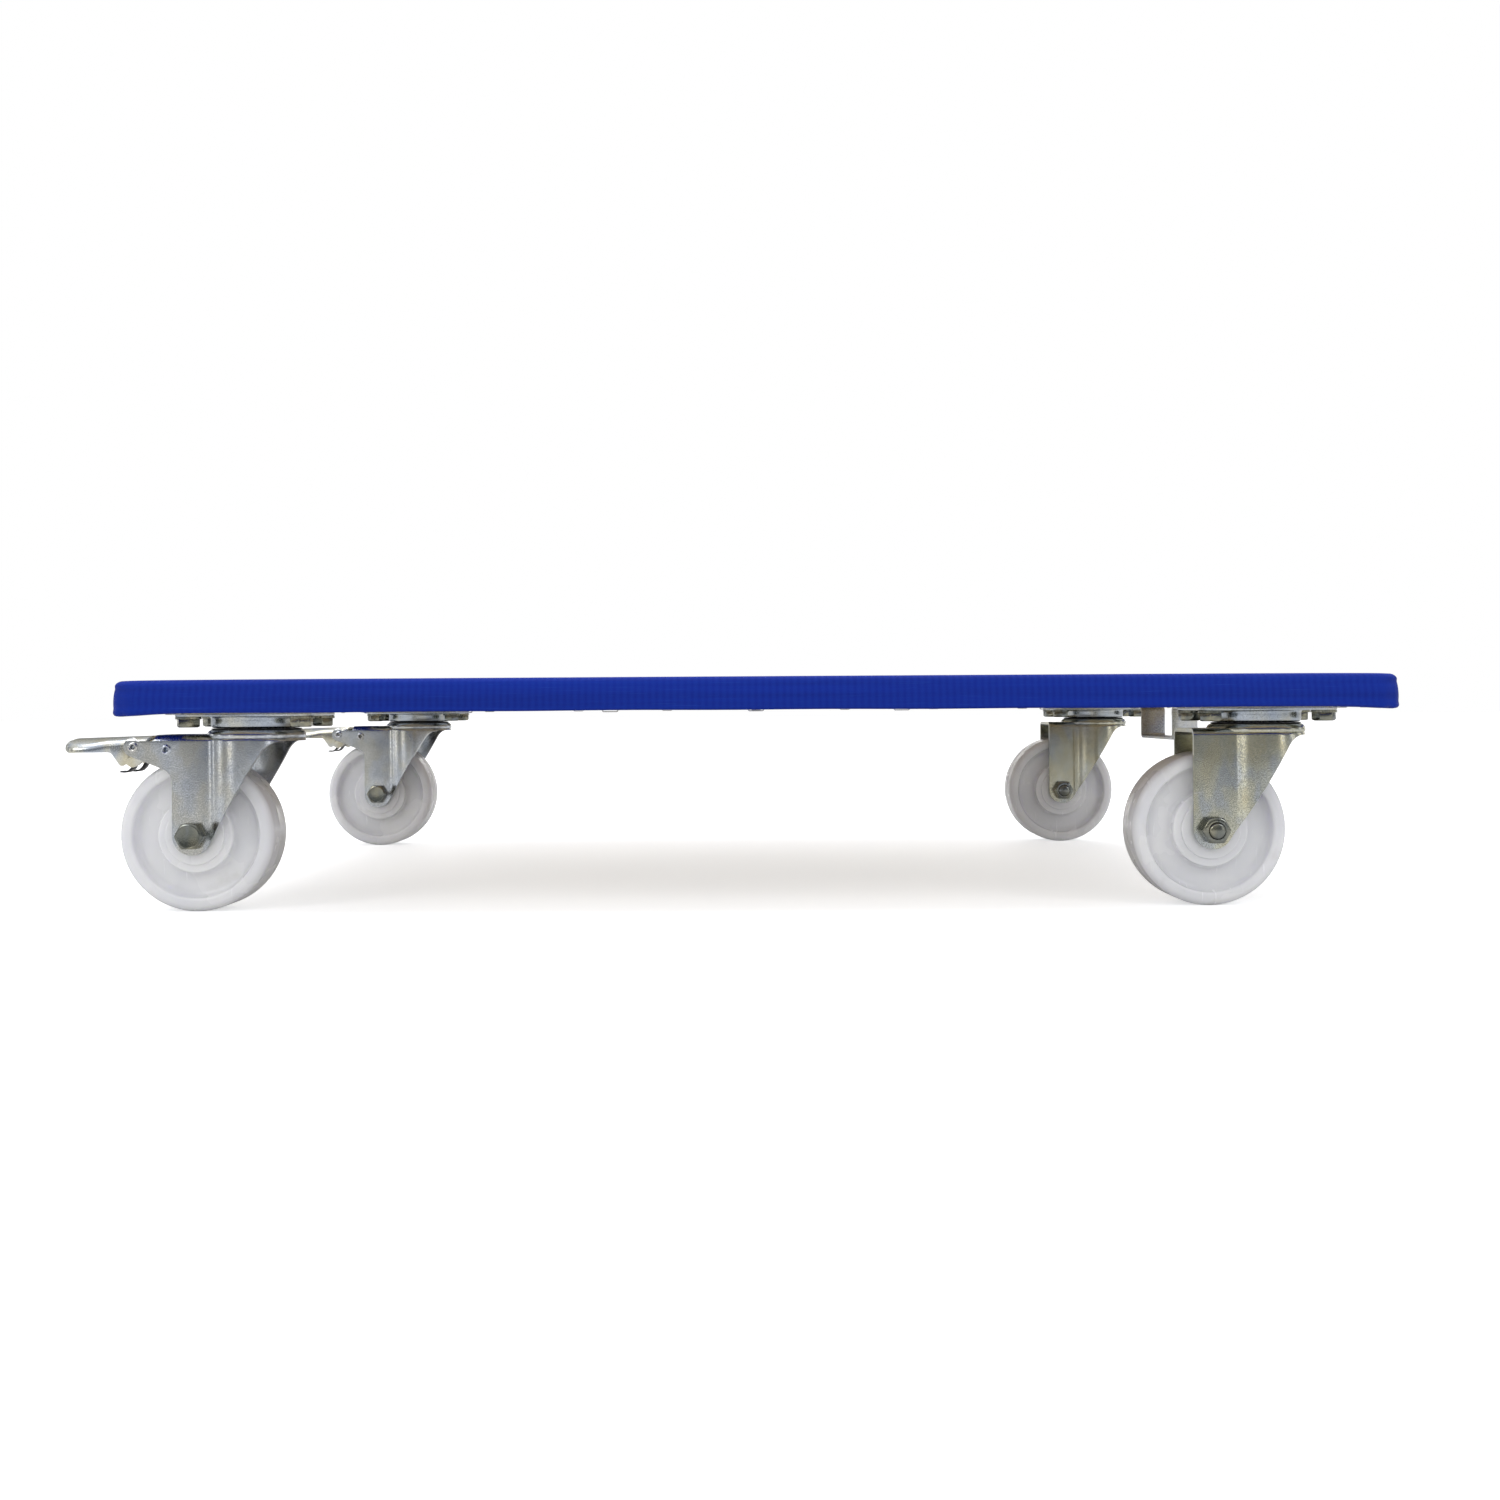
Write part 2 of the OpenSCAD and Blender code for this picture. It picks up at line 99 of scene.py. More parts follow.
def finish_of(name, steady, paint, on="Object"):
    """A material: steady gives sockets one value, paint gives those that vary over the piece."""
    material = bpy.data.materials.new(name)
    material.use_nodes = True
    tree = material.node_tree
    surface = tree.nodes["Principled BSDF"]
    for socket, value in steady.items():
        surface.inputs[socket].default_value = value
    place = Shade(tree).add("TexCoord", {}, pick=on)
    for socket, shade in paint(place).items():
        tree.links.new(shade.out, surface.inputs[socket])
    return material


def dress(piece, material):
    piece.data.materials.clear()
    piece.data.materials.append(material)


MM = 0.001


def select(piece, wanted=None, kind="FACE"):
    """Leaves one piece in edit mode, with all of it or only the wanted elements selected."""
    bpy.ops.object.select_all(action="DESELECT")
    bpy.context.view_layer.objects.active = piece
    piece.select_set(True)
    bpy.ops.object.mode_set(mode="EDIT")
    bpy.ops.mesh.select_mode(type=kind)
    bpy.ops.mesh.select_all(action="SELECT" if wanted is None else "DESELECT")
    if wanted is not None:
        bpy.ops.object.mode_set(mode="OBJECT")
        for element in {"VERT": piece.data.vertices, "FACE": piece.data.polygons}[kind]:
            element.select = wanted(element)
        bpy.ops.object.mode_set(mode="EDIT")


def faced_out(piece):
    select(piece)
    bpy.ops.mesh.normals_make_consistent(inside=False)
    bpy.ops.object.mode_set(mode="OBJECT")


def arc(cx, cy, r, start, end, steps=8):
    turns = [radians(start + (end - start) * i / steps) for i in range(steps + 1)]
    return [(cx + r * cos(a), cy + r * sin(a)) for a in turns]


def circle(cx, cy, r, steps):
    return arc(cx, cy, r, 0, 360, steps)[:-1]


def rounded_rectangle(length, width, r):
    outline = []
    for sx, sy, start in [(1, 1, 0), (-1, 1, 90), (-1, -1, 180), (1, -1, 270)]:
        outline += arc(sx * (length / 2 - r), sy * (width / 2 - r), r, start, start + 90, 6)
    return outline


def placed(axis, a, b, along):
    """A drawing's point (a, b) in mm, so far along the axis that the drawing is square to."""
    return Vector({"X": (along, a, b), "Y": (a, along, b), "Z": (a, b, along)}[axis]) * MM


def raised(name, outline, axis, low, high):
    """A solid with one outline, in mm, from low to high along an axis."""
    bpy.ops.object.select_all(action="DESELECT")
    bpy.ops.mesh.primitive_circle_add(vertices=len(outline), fill_type="NGON")
    piece = bpy.context.object
    piece.name = name
    for vertex, point in zip(piece.data.vertices, outline):
        vertex.co = placed(axis, *point, low)
    select(piece)
    rise = placed(axis, 0, 0, high - low)
    bpy.ops.mesh.extrude_region_move(TRANSFORM_OT_translate={"value": rise})
    bpy.ops.object.mode_set(mode="OBJECT")
    faced_out(piece)
    return piece


def modified(piece, kind, **settings):
    bpy.ops.object.select_all(action="DESELECT")
    bpy.context.view_layer.objects.active = piece
    piece.select_set(True)
    modifier = piece.modifiers.new(kind, kind)
    for name, value in settings.items():
        setattr(modifier, name, value)
    bpy.ops.object.modifier_apply(modifier=modifier.name)
    return piece


def edged(piece, width, segments=2, angle=30):
    """Every edge sharper than the angle gets a small round."""
    return modified(
        piece, "BEVEL", width=width * MM, segments=segments, limit_method="ANGLE", angle_limit=radians(angle)
    )


def smoothed(piece, angle=35):
    bpy.ops.object.select_all(action="DESELECT")
    bpy.context.view_layer.objects.active = piece
    piece.select_set(True)
    bpy.ops.object.shade_smooth_by_angle(angle=radians(angle))
    return piece


def cut(piece, *tools, how="DIFFERENCE"):
    for tool in tools:
        modified(piece, "BOOLEAN", operation=how, object=tool, solver="EXACT")
        bpy.data.objects.remove(tool)
    return piece


VENEER = 1.5 * MM


def plywood(place):
    grain = place.noise(60, 5.0, (0.6, 14.0, 14.0))
    pores = place.noise(420, 3.0, (0.25, 6.0, 6.0))
    plies = place.axis(2).math("PINGPONG", VENEER).ramp(0.4 * VENEER, 0.6 * VENEER)
    upright = place.add("NewGeometry", {}, pick="Normal").axis(2)
    on_face = upright.math("ABSOLUTE").ramp(0.5, 0.8)
    face = grain.ramp(0.3, 0.7).mix((0.46, 0.37, 0.27), (0.58, 0.50, 0.39))
    face = pores.ramp(0.60, 0.72, 0.0, 0.6).mix(face, (0.33, 0.19, 0.09))
    edge = plies.mix((0.36, 0.22, 0.11), (0.62, 0.46, 0.28))
    return {
        "Base Color": on_face.mix(edge, face),
        "Roughness": grain.ramp(0.3, 0.7, 0.55, 0.75),
        "Normal": (grain + pores).bump(0.0002, 0.5),
    }


CORNERS = ["rear_right", "rear_left", "front_right", "front_left"]
BOLT_X = 36.5
BOLT_Y = 22.5
BOLTS = [(x * BOLT_X, y * BOLT_Y) for x in (-1, 1) for y in (-1, 1)]


def swivel(corner):
    """The point on the floor below a caster's swivel axis."""
    low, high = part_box(f"{corner}_dust_seal")
    return Vector(((low.x + high.x) / 2, (low.y + high.y) / 2, 0))


# Each tee nut sits in two cuts, a through hole and a wider one from above: radius, bottom, top.
NUT_CUTS = [(5.05, 120, 150), (9.55, 146.45, 150)]
BOARD_CORNER_R = 17
BOARD_EDGE_R = 3
board_low, board_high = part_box("deck_board")
board_size = (board_high - board_low) / MM
board_outline = rounded_rectangle(board_size.x, board_size.y, BOARD_CORNER_R)
board = raised("plywood_board", board_outline, "Z", board_low.z / MM, board_high.z / MM)
board.data.transform(Matrix.Translation(((board_low.x + board_high.x) / 2, 0, 0)))
edged(board, BOARD_EDGE_R, 4, 60)
for corner in CORNERS:
    for x, y in BOLTS:
        spot = swivel(corner) / MM + Vector((x, y, 0))
        for r, low, high in NUT_CUTS:
            cut(board, raised("nut_hole", circle(spot.x, spot.y, r, 32), "Z", low, high))
smoothed(board)
dress(board, finish_of("birch_plywood", {}, plywood))
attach(board, "deck")
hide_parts("deck_board")


# ---- Felt underlay ----
# A thin grey needled felt lies between the board and the cover and hides the nuts' flanges.
# It is cut a little smaller than the board.

def felt(place):
    fibres = place.noise(1500, 4.0)
    return {
        "Base Color": fibres.ramp(0.35, 0.65).mix((0.10, 0.10, 0.11), (0.24, 0.24, 0.25)),
        "Normal": fibres.bump(0.0004),
    }


FELT_TRIM = 5
FELT_CORNER_R = 14
FELT_THICK = 0.8
felt_low, felt_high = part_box("deck_underlay")
felt_length, felt_width = [(felt_high[i] - felt_low[i]) / MM - FELT_TRIM for i in (0, 1)]
felt_outline = rounded_rectangle(felt_length, felt_width, FELT_CORNER_R)
felt_bottom = felt_low.z / MM
underlay = raised("felt_underlay", felt_outline, "Z", felt_bottom, felt_bottom + FELT_THICK)
underlay.data.transform(Matrix.Translation(((felt_low.x + felt_high.x) / 2, 0, 0)))
smoothed(edged(underlay, 0.3))
dress(underlay, finish_of("grey_felt", {"Roughness": 0.95}, felt))
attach(underlay, "deck")
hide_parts("deck_underlay")


# ---- Deck cover ----
# One cut of royal blue coated fabric, a square weave under a thin skin. It is pulled over the
# board's top and sides, gathered at the corners, and stapled as a hem under the board.

def close_up(piece):
    """Merges what meets, fills the open ends and points the faces outwards."""
    select(piece)
    bpy.ops.mesh.remove_doubles(threshold=0.002 * MM)
    bpy.ops.mesh.dissolve_degenerate(threshold=0.001 * MM)
    bpy.ops.mesh.select_all(action="DESELECT")
    bpy.ops.mesh.select_mode(type="EDGE")
    bpy.ops.mesh.select_non_manifold(extend=False, use_multi_face=False, use_verts=False)
    bpy.ops.mesh.fill_holes(sides=0)
    bpy.ops.mesh.select_all(action="SELECT")
    bpy.ops.mesh.normals_make_consistent(inside=False)
    bpy.ops.object.mode_set(mode="OBJECT")


def lofted(name, rings, looped=True, ends=True):
    """A skin over a row of rings, or of open lines, that all have the same number of points."""
    bpy.ops.object.select_all(action="DESELECT")
    around = len(rings[0]) + (1 if looped else 0)
    bpy.ops.mesh.primitive_grid_add(x_subdivisions=around - 1, y_subdivisions=len(rings) - 1)
    piece = bpy.context.object
    piece.name = name
    for i, vertex in enumerate(piece.data.vertices):
        ring = rings[i // around]
        vertex.co = ring[i % around % len(ring)]
    if ends:
        close_up(piece)
    elif looped:
        select(piece)
        bpy.ops.mesh.remove_doubles(threshold=0.002 * MM)
        bpy.ops.object.mode_set(mode="OBJECT")
    return piece


deck_low, deck_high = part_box("deck_cover")
deck_mid = (deck_low + deck_high) / 2
deck_half = (deck_high - deck_low) / 2
CORNER_R = 18
HEM = 23
FABRIC = 0.7 * MM
SIDE_HEIGHT = 21
TOP_INSET = 270
GATHER_REACH = 42
PLEATS = 11
ON_LONG = 64
ON_SHORT = 48
ON_CORNER = 14


def deck_ring(inset, height, corner_r):
    """Points round the deck, so far in from its sides and so high above its underside, in mm."""
    hx, hy = deck_half.x - inset * MM, deck_half.y - inset * MM
    r = corner_r * MM
    points = []
    for turn, (sx, sy) in enumerate([(1, 1), (-1, 1), (-1, -1), (1, -1)]):
        centre = Vector((deck_mid.x + sx * (hx - r), sy * (hy - r), deck_low.z + height * MM))
        for i in range(ON_CORNER + 1):
            angle = radians(90 * (turn + i / ON_CORNER))
            points.append(centre + r * Vector((cos(angle), sin(angle), 0)))
        run, count = (hx - r, ON_LONG) if turn % 2 == 0 else (hy - r, ON_SHORT)
        along = Vector((-cos(radians(90 * turn)), -sin(radians(90 * turn)), 0))
        start = points[-1]
        points += [start + along * (2 * run * i / count) for i in range(1, count)]
    return points


def settled(p):
    """Where the tight fabric lies: crowned on top, lower at the corners, gathered under them."""
    x, y = p.x - deck_mid.x, p.y
    height = (p.z - deck_low.z) / MM
    to_tip = Vector((deck_half.x - abs(x), deck_half.y - abs(y)))
    far = to_tip.length / MM
    near_corner = max(0.0, 1 - far / GATHER_REACH)
    low = min(1.0, max(0.0, (5 - height) / 4))
    turn = atan2(deck_half.y - CORNER_R * MM - abs(y), deck_half.x - CORNER_R * MM - abs(x))
    drop = (0.4 * exp(-far / 60) + 0.45 * exp(-far / 14)) * height / SIDE_HEIGHT
    pleats = 0.5 + 0.5 * cos(PLEATS * turn)
    drop += low * near_corner * (1.3 + 1.1 * pleats)
    drop -= 0.25 * low * (sin(19 * x) * sin(31 * x + 1) + 0.5 * sin(43 * y + 2))
    out = Vector((x, y, 0)).normalized() if near_corner else Vector()
    out *= 0.5 * near_corner * min(1.0, max(0.0, (12 - height) / 10)) * cos(PLEATS * turn)
    return p + (out + Vector((0, 0, -drop))) * MM


# Inset, height and corner radius of each ring: hem, lower edge, side, upper edge, top.
side_profile = [(HEM, 0.4, 5), (16, 0.35, 6), (9, 0.3, 9), (4, 0.3, 14)]
for turn in (15, 38, 60, 80):
    a = radians(turn)
    side_profile.append((2.2 - 2.2 * sin(a), 2.5 - 2.2 * cos(a), CORNER_R - 1))
side_profile += [(0.012 * (z - 8) ** 2 - 0.1, z, CORNER_R) for z in (4, 6, 8, 10, 12, 14, 16)]
for turn in (14, 30, 46, 62, 78):
    a = radians(turn)
    side_profile.append((4.6 - 3.9 * cos(a), 17.1 + 4 * sin(a), CORNER_R - 1))
side_profile += [(7, 21.15, 14), (12, 21.25, 12), (30, 21.4, 20), (70, 21.55, 40), (130, 21.6, 60)]
side_profile += [(200, 21.6, 60), (TOP_INSET, 21.6, 25)]
cover = lofted("deck_fabric", [deck_ring(*place) for place in side_profile], ends=False)
inner_y = deck_half.y - (TOP_INSET - 1) * MM
select(cover, lambda v: abs(v.co.y) < inner_y and v.co.z > deck_mid.z, "VERT")
bpy.ops.mesh.edge_face_add()
bpy.ops.object.mode_set(mode="OBJECT")
faced_out(cover)

# The weave follows the flat cut: what hangs down the side is laid out beyond the top's edge.
weave_map = cover.data.uv_layers.new(name="cut")
reach_x = deck_half.x - CORNER_R * MM
reach_y = deck_half.y - CORNER_R * MM
for face in cover.data.polygons:
    for loop, index in zip(face.loop_indices, face.vertices):
        p = cover.data.vertices[index].co
        x = p.x - deck_mid.x
        core = Vector((max(-reach_x, min(reach_x, x)), max(-reach_y, min(reach_y, p.y))))
        away = Vector((x, p.y)) - core
        hanging = deck_high.z - p.z
        if face.normal.z < -0.6:
            hanging += 2 * max(0.0, CORNER_R * MM - away.length)
        if away.length > 0 and face.normal.z < 0.6:
            away = away.normalized() * (away.length + hanging)
        weave_map.data[loop].uv = core + away
for vertex in cover.data.vertices:
    vertex.co = settled(vertex.co)
modified(cover, "SOLIDIFY", thickness=FABRIC, offset=-1)
smoothed(cover, 50)


THREAD = 1.3 * MM


def coated_fabric(flat):
    across, along = [(flat.axis(n) * (pi / THREAD)).math("SINE").math("ABSOLUTE") for n in (0, 1)]
    dots = across * along
    clouds = flat.noise(9, 4.0)
    wear = flat.noise(90, 5.0)
    blue = clouds.ramp(0.3, 0.7).mix((0.0012, 0.014, 0.200), (0.0020, 0.021, 0.270))
    blue = dots.ramp(0.25, 0.95, 0.0, 0.22).mix(blue, (0.008, 0.050, 0.400))
    return {
        "Base Color": wear.ramp(0.62, 0.74, 0.0, 0.2).mix(blue, (0.04, 0.12, 0.50)),
        "Roughness": dots * -0.05 + wear.ramp(0.3, 0.7, 0.60, 0.74),
        "Normal": (dots + wear * 0.15).bump(0.00014, 0.2),
    }


dress(cover, finish_of("royal_blue_fabric", {"Specular IOR Level": 0.14}, coated_fabric, on="UV"))
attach(cover, "deck")
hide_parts("deck_cover")


# ---- Hem staples ----
# The hem is held by flat steel wire staples. Each is bent from one piece, with its crown
# pressed into the fabric and its two legs driven up into the board.

def folded(name, line, axis, low, high, thick, bend):
    """A strip that follows a line in mm, with round bends; the strip's width is from low to high."""
    edges = [[placed(axis, *point, width) for point in line] for width in (low, high)]
    piece = lofted(name, edges, looped=False, ends=False)
    edged(piece, bend, 5, 5)
    modified(piece, "SOLIDIFY", thickness=thick * MM, offset=0.0)
    faced_out(piece)
    return piece


def copied(piece, name, matrix):
    twin = bpy.data.objects.new(name, piece.data.copy())
    bpy.context.scene.collection.objects.link(twin)
    twin.data.transform(matrix)
    return twin


def joined(pieces, name):
    bpy.ops.object.select_all(action="DESELECT")
    for piece in pieces:
        piece.select_set(True)
    bpy.context.view_layer.objects.active = pieces[0]
    bpy.ops.object.join()
    pieces[0].name = name
    return pieces[0]


def zinc(name, pale, dark, rough, speckle=0.5, straw=0.25):
    """Bright zinc plating with a blue passivation that turns straw in places."""
    def paint(place):
        clouds = place.noise(38, 3.0)
        tint = place.noise(70, 2.0, (1.0, 1.0, 0.6))
        spangle = place.noise(1350, 3.0)
        grit = place.noise(3600, 2.0)
        rubs = place.noise(240, 3.0, (0.25, 3.0, 3.0))
        colour = clouds.ramp(0.35, 0.65).mix(dark, pale)
        colour = tint.ramp(0.48, 0.62, 0.0, straw).mix(colour, (0.74, 0.66, 0.42))
        colour = tint.ramp(0.46, 0.34, 0.0, straw).mix(colour, (0.42, 0.50, 0.68))
        colour = spangle.ramp(0.34, 0.60, speckle, 0.0).mix(colour, [c * 0.35 for c in dark])
        colour = grit.ramp(0.55, 0.70, 0.0, speckle * 0.6).mix(colour, [min(1.0, c * 1.35) for c in pale])
        colour = rubs.ramp(0.66, 0.74, 0.0, 0.5).mix(colour, (0.82, 0.83, 0.84))
        return {
            "Base Color": colour,
            "Roughness": spangle.ramp(0.35, 0.65, rough + 0.10, rough - 0.05),
            "Normal": (spangle + grit * 0.5).bump(0.00006, 0.55),
        }
    return finish_of(name, {"Metallic": 1.0}, paint)


STAPLE_HALF = 4.7
STAPLE_CROWN_Z = 128.75
STAPLE_TIP_Z = 137
STAPLES_LONG = 9
STAPLES_SHORT = 7
STAPLE_END_GAP = 38
staple_line = [(-STAPLE_HALF, STAPLE_TIP_Z), (-STAPLE_HALF, STAPLE_CROWN_Z)]
staple_line += [(STAPLE_HALF, STAPLE_CROWN_Z), (STAPLE_HALF, STAPLE_TIP_Z)]
one_staple = folded("staple", staple_line, "Y", -0.5, 0.5, 0.6, 0.8)
run_x = deck_half.x - STAPLE_END_GAP * MM
run_y = deck_half.y - STAPLE_END_GAP * MM
spots = []
for side in (-1, 1):
    for i in range(STAPLES_LONG):
        edge = side * (deck_half.y - HEM * MM / 2)
        along = deck_mid.x - run_x + 2 * run_x * i / (STAPLES_LONG - 1)
        spots.append(Matrix.Translation((along, edge, 0)))
    for i in range(STAPLES_SHORT):
        edge = deck_mid.x + side * (deck_half.x - HEM * MM / 2)
        along = -run_y + 2 * run_y * i / (STAPLES_SHORT - 1)
        spots.append(Matrix.Translation((edge, along, 0)) @ Matrix.Rotation(pi / 2, 4, "Z"))
staples = joined([copied(one_staple, "staple_copy", spot) for spot in spots], "wire_staples")
bpy.data.objects.remove(one_staple)
smoothed(staples)
dress(staples, zinc("staple_wire", (0.72, 0.72, 0.74), (0.50, 0.50, 0.52), 0.3))
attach(staples, "deck")
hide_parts("cover_staples")


# ---- Caster plates ----
# Each caster hangs on a 3 mm zinc-plated plate with a pressed dish in its middle, which is
# the upper half of the swivel. The plate is punched for four bolts.

def turned(name, profile, axis="Z", centre=(0, 0, 0), steps=64):
    """A solid of revolution: profile is (radius, place along the axis) in mm, once round."""
    bpy.ops.object.select_all(action="DESELECT")
    bpy.ops.mesh.primitive_circle_add(vertices=len(profile), fill_type="NOTHING")
    piece = bpy.context.object
    piece.name = name
    middle = Vector(centre) * MM
    for vertex, (r, along) in zip(piece.data.vertices, profile):
        vertex.co = middle + placed(axis, r, 0, along)
    select(piece)
    line = {"Y": (0, 1, 0), "Z": (0, 0, 1)}[axis]
    bpy.ops.mesh.spin(steps=steps, angle=2 * pi, center=middle, axis=line)
    bpy.ops.object.mode_set(mode="OBJECT")
    close_up(piece)
    return piece


def bore(r, low, high):
    """The profile of a plain round hole."""
    return [(0, low), (r, low), (r, high), (0, high)]


def fitted(template, name, corners, material, body, node):
    """Copies a caster piece from its drawing place to each corner, and puts it in the frame."""
    for corner in corners:
        piece = copied(template, f"{corner}_{name}", Matrix.Translation(swivel(corner)))
        smoothed(piece)
        dress(piece, material)
        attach(piece, body.format(corner))
        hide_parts(f"{corner}_{node}")
    bpy.data.objects.remove(template)


PLATE_LENGTH = 88
PLATE_WIDTH = 64
PLATE_CORNER_R = 8
PLATE_THICK = 3
PLATE_TOP = 130
FINE = 96
BALL_GROOVE = circle(21, 119, 2.7, 16)
plate_outline = rounded_rectangle(PLATE_LENGTH, PLATE_WIDTH, PLATE_CORNER_R)
plate = raised("plate", plate_outline, "Z", PLATE_TOP - PLATE_THICK, PLATE_TOP)
edged(plate, 0.7, 3)
dish = [(0, 128), (32, 128), (32, 127.2)] + arc(30.3, 125.4, 1.7, 88, 180, 5)
dish += [(28.5, 124.6), (28.7, 122)] + arc(26.5, 121.5, 2, 0, -90, 6) + [(0, 119.5)]
hollow = [(0, 123), (24, 123), (26, 125), (26, 128), (27.2, 131), (0, 131)]
cut(plate, turned("dish", dish, steps=FINE), how="UNION")
cut(plate, turned("dish_hollow", hollow, steps=FINE))
cut(plate, turned("pin_hole", bore(6.05, 118, 124), steps=32))
cut(plate, turned("race", BALL_GROOVE, steps=FINE))
for x, y in BOLTS:
    slot_ends = arc(x + 1.5, y, 4.3, -90, 90, 8) + arc(x - 1.5, y, 4.3, 90, 270, 8)
    cut(plate, raised("slot", slot_ends, "Z", 126, 131))
plate_zinc = zinc("plate_zinc", (0.58, 0.62, 0.66), (0.40, 0.44, 0.48), 0.20, speckle=0.3, straw=0.3)
fitted(plate, "pressed_plate", CORNERS, plate_zinc, "deck", "plate")


# ---- Caster bolts, washers and tee nuts ----
# Hexagon bolts come up through washers and plates into tee nuts that are pressed into the
# board from above. All are zinc plated; each bolt head has a turned, rounded chamfer.

def hexagon(flats):
    """A hexagon from its width across the flats."""
    return circle(0, 0, flats / sqrt(3), 6)


BOLT_FLATS = 13
HEAD_LOW = 120.1
HEAD_TOP = 125.4
bolt = raised("bolt", hexagon(BOLT_FLATS), "Z", HEAD_LOW, HEAD_TOP)
head = [(0, HEAD_LOW), (5.7, HEAD_LOW), (6.6, 120.45), (7.6, 121.3), (7.6, 125.1)]
head += [(6.9, HEAD_TOP), (0, HEAD_TOP)]
cut(bolt, turned("head_turning", head, steps=48), how="INTERSECT")
edged(bolt, 0.18)
shank = [(0, 125.2), (4, 125.2), (4, 143.8), (3.4, 144.6), (0, 144.6)]
cut(bolt, turned("shank", shank, steps=24), how="UNION")
ring = [(4.2, HEAD_TOP), (7.75, HEAD_TOP), (8, 125.6), (8, 126.8), (7.8, 127), (4.2, 127)]
washer = turned("washer", ring, steps=40)
barrel = [(4.05, 135.5), (5, 135.5), (5, 146.2), (5.6, 146.5), (9.3, 146.5), (9.5, 146.7)]
barrel += [(9.5, 148), (4.05, 148)]
tee_nut = turned("tee_nut", barrel, steps=28)

# The bolts' zinc is far darker than the forks' zinc: painted shade, standing in for the dark reflections
# that their flat faces show.
bolt_zinc = zinc("bolt_zinc", (0.27, 0.28, 0.25), (0.17, 0.18, 0.16), 0.13, speckle=0.12, straw=0.3)
spots = [(corner, x, y) for corner in CORNERS for x, y in BOLTS]
hardware = [
    (bolt, "hexagon_bolts", "caster_bolts"),
    (washer, "flat_washers", "caster_washers"),
    (tee_nut, "pressed_tee_nuts", "tee_nuts"),
]
for template, name, node in hardware:
    copies = []
    for number, (corner, x, y) in enumerate(spots):
        centre = swivel(corner) + Vector((x, y, 0)) * MM
        turn = Matrix.Rotation(radians(17 * number % 60), 4, "Z")
        copies.append(copied(template, "copy", Matrix.Translation(centre) @ turn))
    group = smoothed(joined(copies, name))
    dress(group, bolt_zinc)
    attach(group, "deck")
    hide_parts(node)
    bpy.data.objects.remove(template)


# ---- Drawbar bracket ----
# A strap of zinc-plated flat steel, bent to a U with two feet, hangs under the front end and
# takes the drawbar. Four button-head screws hold its feet to the board.

STRAP_THICK = 2
STRAP_BEND = 3.2
LEG_Y = 45.5
FOOT_Z = 129
SCREW_YS = (55.5, 67.5)
strap_low, strap_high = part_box("drawbar_bracket")
foot_y = strap_high.y / MM
base_z = strap_low.z / MM + STRAP_THICK / 2
strap_line = [(-foot_y, FOOT_Z), (-LEG_Y, FOOT_Z), (-LEG_Y, base_z)]
strap_line += [(LEG_Y, base_z), (LEG_Y, FOOT_Z), (foot_y, FOOT_Z)]
back_x, front_x = strap_low.x / MM, strap_high.x / MM
bracket = folded("bent_strap", strap_line, "X", back_x, front_x, STRAP_THICK, STRAP_BEND)
screw_low, screw_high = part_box("bracket_screws")
screw_x = (screw_low.x + screw_high.x) / 2
screw_y = [side * y * MM for side in (-1, 1) for y in SCREW_YS]
for y in screw_y:
    hole = turned("hole", bore(2.6, 126, 132), steps=24)
    hole.data.transform(Matrix.Translation((screw_x, y, 0)))
    cut(bracket, hole)
edged(bracket, 0.25)
smoothed(bracket)
strap_zinc = zinc("strap_zinc", (0.70, 0.73, 0.78), (0.52, 0.53, 0.55), 0.22, speckle=0.2, straw=0.3)
dress(bracket, strap_zinc)
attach(bracket, "deck")
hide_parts("drawbar_bracket")

button = [(0, 124.8), (1.6047, 124.0018)] + arc(2.2, 127, 2.3, -80, 0, 6)
button += [(2.5, 127), (2.5, 141), (0, 142.6)]
screw = turned("screw", button, steps=32)
cut(screw, raised("socket", hexagon(3), "Z", 124, 126.2))
edged(screw, 0.1)
screws = []
for y in screw_y:
    screws.append(copied(screw, "screw_copy", Matrix.Translation((screw_x, y, 0))))
screws = smoothed(joined(screws, "button_head_screws"))
bpy.data.objects.remove(screw)
dress(screws, bolt_zinc)
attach(screws, "deck")
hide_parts("bracket_screws")


# ---- Swivel inside ----
# Two rows of steel balls run between the plate's dish, the fork's crown and a hardened cup.
# A riveted king pin holds the stack together, and a black plastic lip keeps dirt out.

def machined(name, colour, rough):
    """Ground or turned steel with fine rings of tool marks and a film of grease."""
    def paint(place):
        grease = place.noise(120, 3.0)
        marks = place.noise(2600, 2.0, (0.3, 0.3, 3.0))
        return {
            "Base Color": grease.ramp(0.4, 0.65).mix(colour, [c * 0.6 for c in colour]),
            "Roughness": grease.ramp(0.35, 0.65, rough, rough + 0.15),
            "Normal": marks.bump(0.00002, 0.4),
        }
    return finish_of(name, {"Metallic": 1.0}, paint)


hardened = machined("hardened_steel", (0.34, 0.33, 0.32), 0.32)
bright = machined("bearing_steel", (0.72, 0.72, 0.73), 0.12)
for corner in CORNERS:
    for part in ("king_pin", "race_cup", "axle_tube"):
        dress(nodes[f"{corner}_{part}"], hardened)
    for part in ("bearing_balls", "axle_rollers"):
        dress(nodes[f"{corner}_{part}"], bright)


def plastic(place):
    grain = place.noise(1800, 3.0)
    return {
        "Base Color": place.noise(90).ramp(0.3, 0.7).mix((0.010, 0.010, 0.011), (0.022, 0.022, 0.024)),
        "Roughness": grain.ramp(0.3, 0.7, 0.42, 0.58),
        "Normal": grain.bump(0.00005, 0.5),
    }


